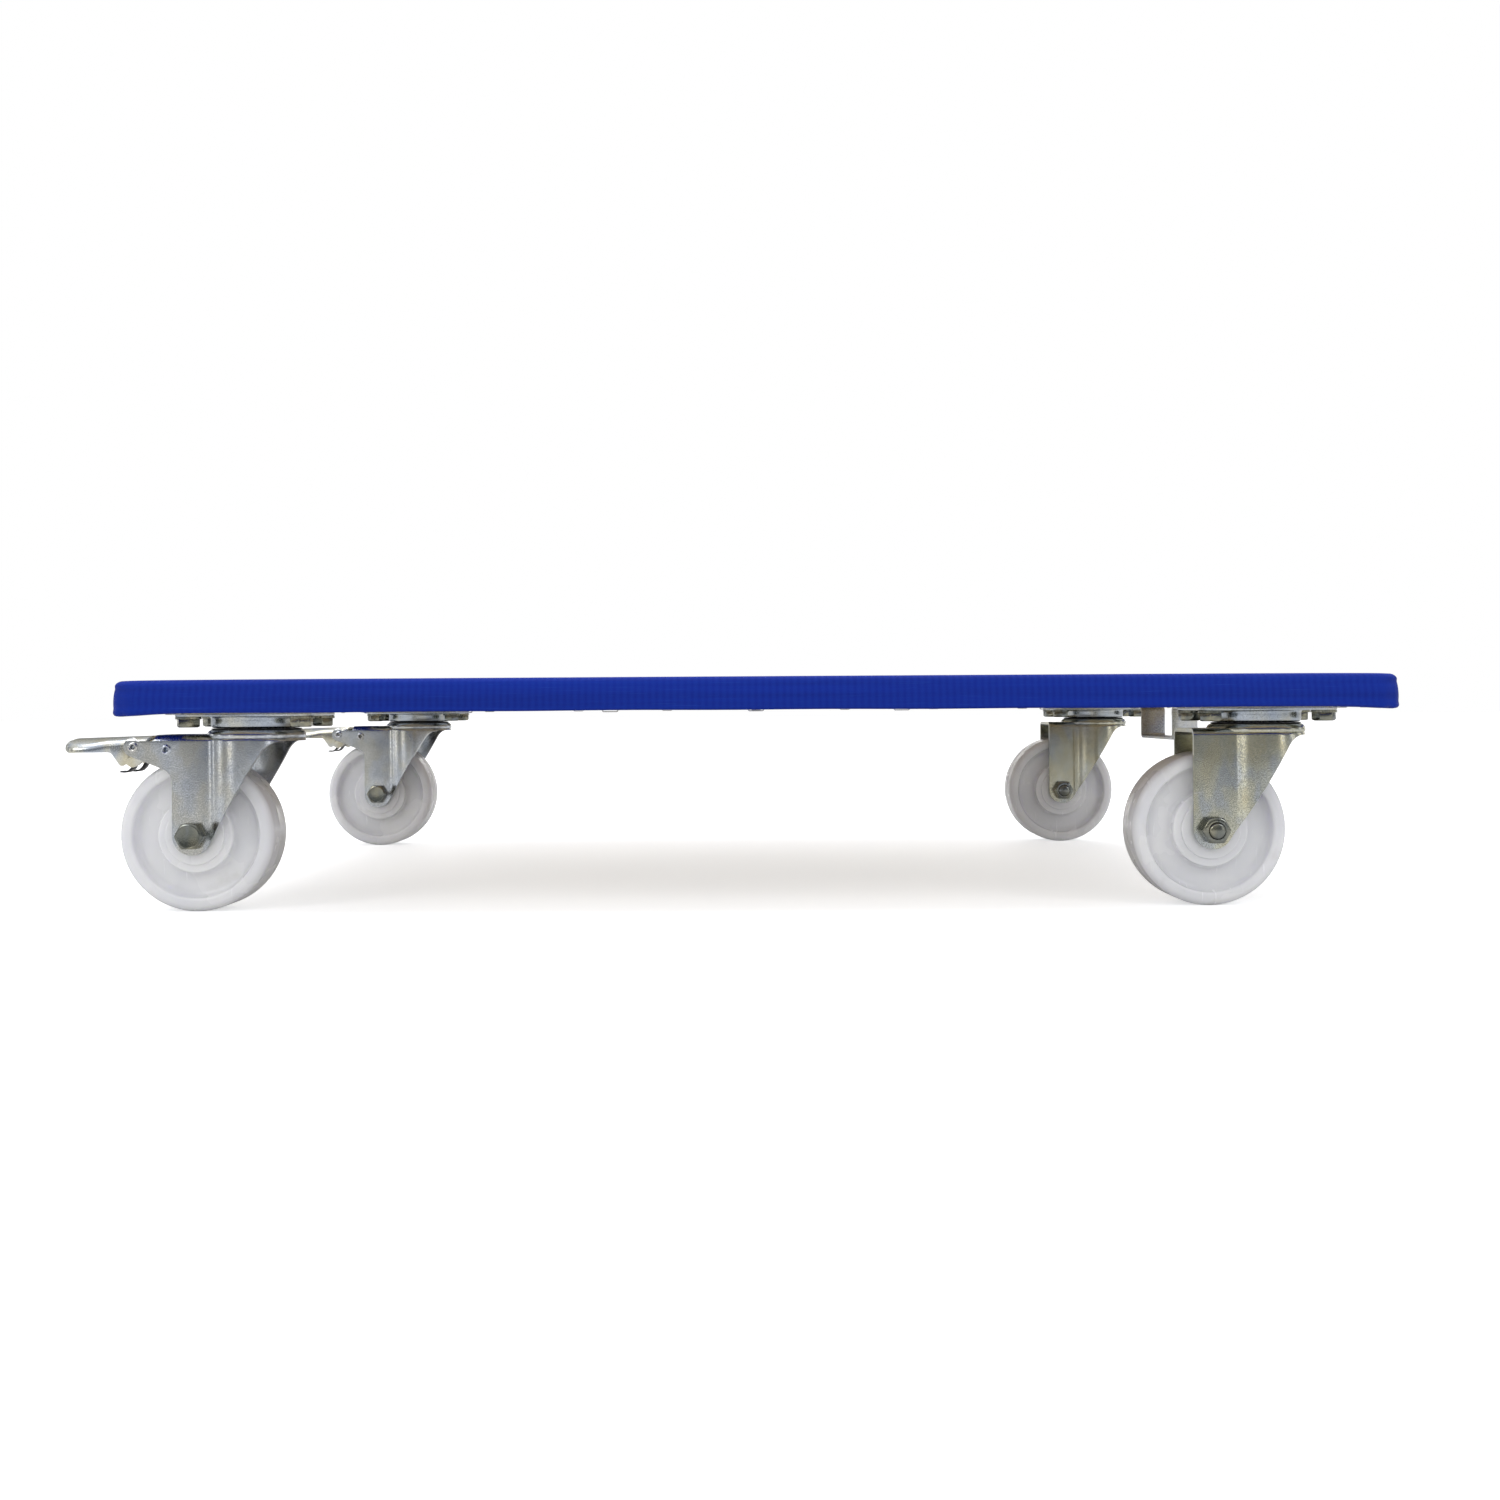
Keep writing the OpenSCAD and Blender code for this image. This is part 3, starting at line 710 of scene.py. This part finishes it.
lip = [(25.05, 118.55), (27.6, 118.5), (28.3, 118.65), (28.5, 118.95), (28.2, 119.2), (25.05, 119.2)]
seal = turned("seal", lip, steps=FINE)
black_plastic = finish_of("black_plastic", {}, plastic)
fitted(seal, "seal_lip", CORNERS, black_plastic, "{}_swivel", "dust_seal")


# ---- Forks ----
# Each fork is one pressing of 2.5 mm sheet: a round crown with a rolled rim, and two legs that
# flow into it through a rounded neck. The braked forks have an arm behind for the pedal.

REAR = CORNERS[:2]
FRONT = CORNERS[2:]
SHEET = 2.5
LEG_OUT = 22.5
CROWN_R = 31
CROWN_TOP = 118.5
WEB_TOP = 115.5
SHOULDER_R = 5
NECK_R = 11
AXLE = (-35, 50)
AXLE_HOLE_R = 5.1
PIVOT = (-72.7, 107.6)
LEAF_PIVOT = (-51.2, 105.9)
RIVET_HOLE_R = 2.5


def fork_plan(inset, back):
    """The pressing seen from above, with its sheet's inset: legs, hollow necks, round crown."""
    neck_y = LEG_OUT + NECK_R
    neck_x = -sqrt((CROWN_R + NECK_R) ** 2 - neck_y ** 2)
    lean = degrees(atan2(neck_y, -neck_x))
    half = arc(neck_x, -neck_y, NECK_R + inset, 90, lean, 8)
    half = [(back, -LEG_OUT + inset)] + half
    half += arc(0, 0, CROWN_R - inset, lean - 180, 0, 28)[1:]
    return half + [(x, -y) for x, y in half[-2::-1]]


def fork_skin(name, inset, back, foot=30):
    """The outside of the pressing, or its inside, as a solid that runs on below the legs."""
    shoulder = SHOULDER_R - inset
    rings = [[(x, y, foot) for x, y in fork_plan(inset, back)]]
    for i in range(8):
        a = radians(88 * i / 7)
        z = WEB_TOP - SHOULDER_R + shoulder * sin(a)
        rings.append([(x, y, z) for x, y in fork_plan(inset + shoulder * (1 - cos(a)), back)])
    return lofted(name, [[Vector(p) * MM for p in ring] for ring in rings])


def side_outline(braked):
    """The fork seen from the side, in mm: crown, raked front edge, foot, back edge, pedal arm."""
    rake = 59
    foot_r = 12.5
    nose_r, nose_z = 14, 111
    touch = (AXLE[0] + foot_r * sin(radians(rake)), AXLE[1] - foot_r * cos(radians(rake)))
    nose_x = touch[0] + (nose_z - touch[1]) / tan(radians(rake)) + nose_r * tan(radians(rake / 2))
    line = [(40, CROWN_TOP + 1), (40, nose_z)]
    line += arc(nose_x, nose_z - nose_r, nose_r, 90, 90 + rake, 12)
    line += arc(*AXLE, foot_r, rake - 90, -180, 24)
    back = AXLE[0] - foot_r
    if not braked:
        return line + [(back, CROWN_TOP + 1)]
    fall, end_r, bend = 21.8, 6.1, 9
    heel = (PIVOT[0] - end_r * sin(radians(fall)), PIVOT[1] - end_r * cos(radians(fall)))
    corner_z = heel[1] - (back - heel[0]) * tan(radians(fall))
    bend_z = corner_z - bend * tan(radians((90 - fall) / 2))
    line += arc(back - bend, bend_z, bend, 0, 90 - fall, 12)
    line += arc(*PIVOT, end_r, 270 - fall, 90, 14)
    line += arc(-69.5, 113.8, 2.5, -95, -60, 3) + arc(-61, 113.8, 2.5, -90, -20, 5)
    return line + [(-58, 120)]


def drilled(piece, r, places):
    """Round holes from side to side through a piece."""
    for x, z in places:
        cut(piece, turned("drill", bore(r, -40, 40), "Y", (x, 0, z), 40))


def pressed_fork(name, braked):
    back = -90 if braked else -60
    fork = fork_skin(name, 0, back)
    rim = [(0, 112.5), (29.4, 112.5), (30.9, 113.3)] + arc(27.1, 114.5, 4, 0, 88, 8)
    rim += [(25, CROWN_TOP), (0, CROWN_TOP)]
    cut(fork, turned("rim", rim, steps=FINE), how="UNION")
    cut(fork, fork_skin("fork_inside", SHEET, back - 2, 28))
    if braked:
        opening = rounded_rectangle(30, 2 * (LEG_OUT - SHEET), 4)
        cut(fork, raised("web_end", [(x - 77, y) for x, y in opening], "Z", 90, 122))
    cut(fork, raised("side", side_outline(braked), "Y", -40, 40), how="INTERSECT")
    cut(fork, turned("race", BALL_GROOVE, steps=FINE))
    cut(fork, turned("pin_way", bore(7, 108, 122), steps=40))
    drilled(fork, AXLE_HOLE_R, [AXLE])
    if braked:
        drilled(fork, RIVET_HOLE_R, [PIVOT, LEAF_PIVOT])
    return edged(fork, 0.35, 2, 40)


grey_zinc = zinc("fork_zinc_blue", (0.78, 0.81, 0.84), (0.58, 0.61, 0.64), 0.18, speckle=0.6, straw=0.30)
straw_zinc = zinc("fork_zinc_straw", (0.74, 0.74, 0.62), (0.54, 0.54, 0.45), 0.17, speckle=0.55, straw=0.45)
fitted(pressed_fork("braked_fork", True), "braked_fork", REAR, grey_zinc, "{}_swivel", "fork")
fitted(pressed_fork("plain_fork", False), "plain_fork", FRONT, straw_zinc, "{}_swivel", "fork")


# ---- Axles ----
# An M10 hexagon bolt clamps the fork's legs onto a steel tube, and a nut closes it. The rear
# casters show the bolt's head on the right-hand side, and the front ones show the nut.

AXLE_FLATS = 16
AXLE_HEAD = 6.4
AXLE_NUT = 8
AXLE_CENTRE = (AXLE[0], 0, AXLE[1])
AXLE_HEXAGON = [(AXLE[0] + x, AXLE[1] + z) for x, z in hexagon(AXLE_FLATS)]


def faced(side, profile):
    """A profile of radii and distances out from one leg's face; side is -1 for the right-hand leg."""
    return [(r, side * (LEG_OUT + distance)) for r, distance in profile]


def hexagonal(name, side, height, face):
    """A hexagon that stands on a leg's face, with its corners turned off."""
    ends = sorted((side * LEG_OUT, side * (LEG_OUT + height)))
    piece = raised(name, AXLE_HEXAGON, "Y", *ends)
    cut(piece, turned("turned_face", faced(side, face), "Y", AXLE_CENTRE, 64), how="INTERSECT")
    return edged(piece, 0.22)


def axle_head(side):
    """Bolt head, shank and threaded end; side is the side of the head."""
    face = [(0, -1), (9.6, -1), (9.6, 5.0), (8.3, 6.0), (7.25, AXLE_HEAD), (7.0, 6.15), (0, 6.15)]
    head = hexagonal("axle_head", side, AXLE_HEAD, face)
    shank = [(0, 9.5), (4.1, 9.5)]
    for i in range(4):
        shank += [(4.55, 9.2 - 1.1 * i), (5, 8.7 - 1.1 * i)]
    shank = faced(-side, shank + [(5, 4.8)]) + faced(side, [(5, 0.4), (0, 0.4)])
    return cut(head, turned("axle_shank", shank, "Y", AXLE_CENTRE, 40), how="UNION")


def axle_nut(side):
    face = [(5.05, -1), (8.2, -1), (9.6, 0.8), (9.6, 6.6), (8.2, 7.6), (7.4, AXLE_NUT)]
    face += [(5.6, AXLE_NUT), (5.05, 7.4)]
    return hexagonal("axle_nut", side, AXLE_NUT, face)


for corners, side in [(REAR, -1), (FRONT, 1)]:
    fitted(axle_head(side), "hexagon_axle", corners, bolt_zinc, "{}_swivel", "axle_bolt")
    fitted(axle_nut(-side), "hexagon_nut", corners, bolt_zinc, "{}_swivel", "axle_nut")


# ---- Wheels ----
# The wheels are moulded in one piece from white nylon: a rounded tread, a hollow web and a
# stepped hub. The mould leaves a fine line round the tread, and use leaves small scratches.

def both_sides(half):
    """A turned profile made whole from its half on one side of the middle."""
    return half + [(r, -y) for r, y in half[::-1]]


half_wheel = [(11.1, 17.6), (11.5, 18), (18.6, 18)] + arc(18.8, 17.5, 0.5, 80, 0, 4) + [(19.35, 16.7)]
half_wheel += [(19.6, 16.45), (23.1, 16.35)] + arc(23.3, 15.2, 1.2, 85, 10, 5)
half_wheel += arc(27.6, 12.6, 3.1, 182, 268, 8) + [(31, 9.25), (35, 9.35)]
half_wheel += arc(36.6, 13.8, 4.4, 275, 358, 8) + arc(43.1, 14.1, 1.9, 175, 95, 6)
half_wheel += arc(45.4, 11.4, 4.6, 88, 4, 12) + [(50, 10.4), (50, 0.5), (50.05, 0.2)]
moulded = turned("moulded_wheel", both_sides(half_wheel), "Y", AXLE_CENTRE, 128)


def nylon(place):
    milky = place.noise(26, 3.0)
    marks = place.noise(150, 4.0, (3.0, 1.0, 0.35))
    nicks = place.noise(520, 3.0, (0.6, 2.0, 1.4))
    scuffs = place.noise(60, 6.0)
    white = milky.ramp(0.35, 0.65).mix((0.72, 0.725, 0.75), (0.80, 0.80, 0.81))
    white = scuffs.ramp(0.60, 0.75, 0.0, 0.5).mix(white, (0.62, 0.61, 0.60))
    white = marks.ramp(0.68, 0.74, 0.0, 0.5).mix(white, (0.93, 0.94, 0.96))
    relief = milky * 0.5 + marks.ramp(0.66, 0.74) * 0.25 + nicks.ramp(0.68, 0.76) * 0.3
    return {
        "Base Color": white,
        "Roughness": milky.ramp(0.3, 0.7, 0.20, 0.32) + marks.ramp(0.64, 0.72, 0.0, 0.15),
        "Normal": relief.bump(0.00035, 0.35),
    }


milk = {
    "Subsurface Weight": 0.6,
    "Subsurface Scale": 0.010,
    "Subsurface Radius": (1.0, 0.95, 1.1),
    "Coat Weight": 0.15,
    "Coat Roughness": 0.12,
}
white_nylon = finish_of("white_nylon", milk, nylon)
fitted(moulded, "moulded_wheel", CORNERS, white_nylon, "{}_wheel", "wheel")


# ---- Foot brakes ----
# A zinc-plated steel pedal, pressed to a crowned shell, turns on a hollow rivet through the
# fork's arms. It bears on a black spring steel leaf whose two prongs lock wheel and swivel.

PEDAL_SHEET = 2
PEDAL_RIM_R = 3.4
PEDAL_CROWN_R = 58
PEDAL_SLOPE = 0.03
PEDAL_HEEL = -60


def pedal_plan(inset, front):
    """The pedal seen from above: a round-cornered tip, a wide head and a narrower neck."""
    wide, narrow, tip_r = 23.5 - inset, 19 - inset, 12 - inset
    half = arc(-108, 11.5, tip_r, 180, 90, 10)
    half += [(-101, wide), (-98.5, wide - 0.6), (-91.5, narrow + 0.6), (-89, narrow), (front, narrow)]
    return [(x, -y) for x, y in half[::-1]] + half


def pedal_skin(name, inset):
    """The pedal filled out: walls that round over into a top that is crowned across its width."""
    rim = PEDAL_RIM_R - inset
    front = PEDAL_HEEL + inset

    def crowned(x, y):
        return 57 + PEDAL_SLOPE * (x - PEDAL_HEEL) + sqrt((PEDAL_CROWN_R - inset) ** 2 - y ** 2)

    rings = [[(x, y, 80 - inset) for x, y in pedal_plan(inset, front)]]
    for i in range(8):
        a = radians(90 * i / 7)
        plan = pedal_plan(inset + rim * (1 - cos(a)), front)
        rings.append([(x, y, crowned(x, y) - rim * (1 - sin(a))) for x, y in plan])
    for share in (0.85, 0.7, 0.55, 0.4, 0.2, 0):
        rings.append([(x, y * share, crowned(x, y * share)) for x, y in plan])
    return lofted(name, [[Vector(p) * MM for p in ring] for ring in rings])


def pressed_pedal():
    """The shell, trimmed from the side to its cheeks and drilled for the rivet."""
    pedal = pedal_skin("pressed_pedal", 0)
    cut(pedal, pedal_skin("pedal_inside", PEDAL_SHEET))
    cheek = [(-66, 120), (-122, 120), (-122, 107.4)] + arc(-113, 111.5, 7.4, 215, 262, 6)
    cheek += [(-106, 104.3), (-91, 104.3), (-89.2, 104.1), (-87.6, 103), (-86, 100.6)]
    cheek += [(-84.6, 98.6), (-83.2, 96.4)] + arc(-81.4, 97.1, 1.7, 205, 300, 5)
    cheek += [(-79.4, 96.3), (-78.2, 96.4), (-76.6, 95.2)] + arc(-74.6, 96.6, 2.2, 235, 300, 4)
    cheek += [(-70.4, 96), (-67.6, 98.4), (-66, 102)]
    cut(pedal, raised("cheek", cheek, "Y", -40, 40), how="INTERSECT")
    drilled(pedal, RIVET_HOLE_R, [PIVOT])
    return edged(pedal, 0.3, 2, 40)


pedal_zinc = zinc("pedal_zinc", (0.78, 0.77, 0.70), (0.60, 0.61, 0.56), 0.20, speckle=0.35, straw=0.6)
fitted(pressed_pedal(), "pressed_pedal", REAR, pedal_zinc, "{}_pedal", "brake_pedal")


def spring_steel(place):
    scale = place.noise(900, 3.0)
    oil = place.noise(120, 2.0)
    return {
        "Base Color": scale.ramp(0.4, 0.6).mix((0.010, 0.010, 0.011), (0.035, 0.034, 0.036)),
        "Roughness": oil.ramp(0.35, 0.65, 0.28, 0.48),
        "Normal": scale.bump(0.00003, 0.4),
    }


LEAF_HALF = 12
leaf_line = arc(*LEAF_PIVOT, 3.5, 100, -120, 12) + [(-54.6, 103.4), (-58, 99.5), (-61, 97.4)]
leaf_line += [(-64, 98.3), (-67.5, 101), (-71, 102), (-74, 100.3), (-76, 97), (-78, 93.6)]
leaf_line += [(-80, 91.8), (-82.2, 91.2), (-85.4, 91.4)]
leaf = folded("spring_leaf", leaf_line, "Y", -LEAF_HALF, LEAF_HALF, 1, 0.8)
gap = [(x - 86, y) for x, y in rounded_rectangle(24, 10, 3)]
cut(leaf, raised("prong_gap", gap, "Z", 80, 110))
edged(leaf, 0.18)
leaf_black = finish_of("black_spring_steel", {"Metallic": 0.6}, spring_steel)
fitted(leaf, "spring_leaf", REAR, leaf_black, "{}_leaf", "brake_leaf")

half_rivet = [(0, 18), (1.35, 18.4), (1.35, 22.6), (1.7, 23.15), (2.3, 23.4)]
half_rivet += [(2.9, 23.25), (3.3, 22.85), (3.3, 22.5), (2.4, 22.5)]
rivets = []
for x, z in (PIVOT, LEAF_PIVOT):
    rivets.append(turned("rivet", both_sides(half_rivet), "Y", (x, 0, z), 40))
rivets = joined(rivets, "rivets")
fitted(rivets, "hollow_rivets", REAR, strap_zinc, "{}_swivel", "brake_rivets")


# ---- Studio ----
# The truck stands on a pale floor under a wide soft light. The room is light above and
# darker round the sides, so that the plated steel shows bands.

bpy.ops.object.select_all(action="DESELECT")
bpy.ops.object.camera_add(location=(0.025, -1.186, 0.130), rotation=(pi / 2, radians(0.35), 0))
camera = bpy.context.object
camera.data.lens = 34.7
camera.data.shift_x = -0.004
camera.data.shift_y = -0.0275
bpy.context.scene.camera = camera


def soft_light(name, place, target, size, power):
    bpy.ops.object.light_add(type="AREA", location=place)
    light = bpy.context.object
    light.name = name
    light.data.shape = "RECTANGLE"
    light.data.size, light.data.size_y = size
    light.data.energy = power
    light.rotation_euler = (Vector(target) - Vector(place)).to_track_quat("-Z", "Y").to_euler()
    return light


soft_light("overhead", (0.0, -0.1, 2.4), (0, 0, 0), (3.0, 2.2), 40)
soft_light("front_left", (-2.2, -2.4, 1.9), (-0.2, 0, 0.1), (1.4, 1.2), 17)
soft_light("front_right", (2.4, -2.2, 1.9), (0.2, 0, 0.1), (1.2, 1.2), 14)
soft_light("back_rim", (0.3, 2.6, 1.4), (0, 0, 0.1), (2.6, 1.0), 14)
fill = soft_light("low_fill", (0, -3.2, 0.3), (0, 0, 0.08), (4.5, 0.4), 15)
fill.visible_glossy = False

bpy.ops.mesh.primitive_plane_add(size=40)
floor = bpy.context.object
floor.name = "pale_floor"


def floor_paint(place):
    """Pale where it is seen; darker in what it lends to the truck, and darkest in the metal."""
    seen = place.add("LightPath", {}, pick="Is Camera Ray")
    glossy = place.add("LightPath", {}, pick="Is Glossy Ray")
    pale = place.noise(0.8).ramp(0.3, 0.7).mix((0.86, 0.86, 0.87), (0.90, 0.90, 0.90))
    lent = glossy.mix((0.62, 0.62, 0.62), (0.48, 0.48, 0.48))
    return {
        "Base Color": seen.mix(lent, pale),
        "Emission Color": seen.mix((0.16, 0.16, 0.16), (1.0, 1.01, 1.02)),
    }


dress(floor, finish_of("pale_floor", {"Roughness": 0.7, "Emission Strength": 0.53}, floor_paint))

PANEL_PITCH = radians(31)
room = bpy.data.worlds.new("studio_room")
bpy.context.scene.world = room
room.use_nodes = True
sky = room.node_tree
dome = Shade(sky).add("TexCoord", {}, pick="Generated")
bearing = dome.axis(0).math("ARCTAN2", dome.axis(1) * -1)
off_axis = bearing.math("ABSOLUTE").ramp(0.44, 0.50)
panels = (bearing * (2 * pi / PANEL_PITCH)).math("COSINE").ramp(-0.2, -0.7) * off_axis
height = dome.axis(2)
wall = (panels * height.ramp(0.55, 0.35)).mix((0.24, 0.25, 0.26), (1.35, 1.32, 1.26))
wall = height.ramp(0.30, 0.75).mix(wall, (0.95, 0.95, 0.95))
seen = Shade(sky).add("LightPath", {}, pick="Is Camera Ray")
sky.links.new(seen.mix(wall, (1.0, 1.0, 1.0)).out, sky.nodes["Background"].inputs["Color"])

bpy.context.scene.view_settings.view_transform = "Standard"
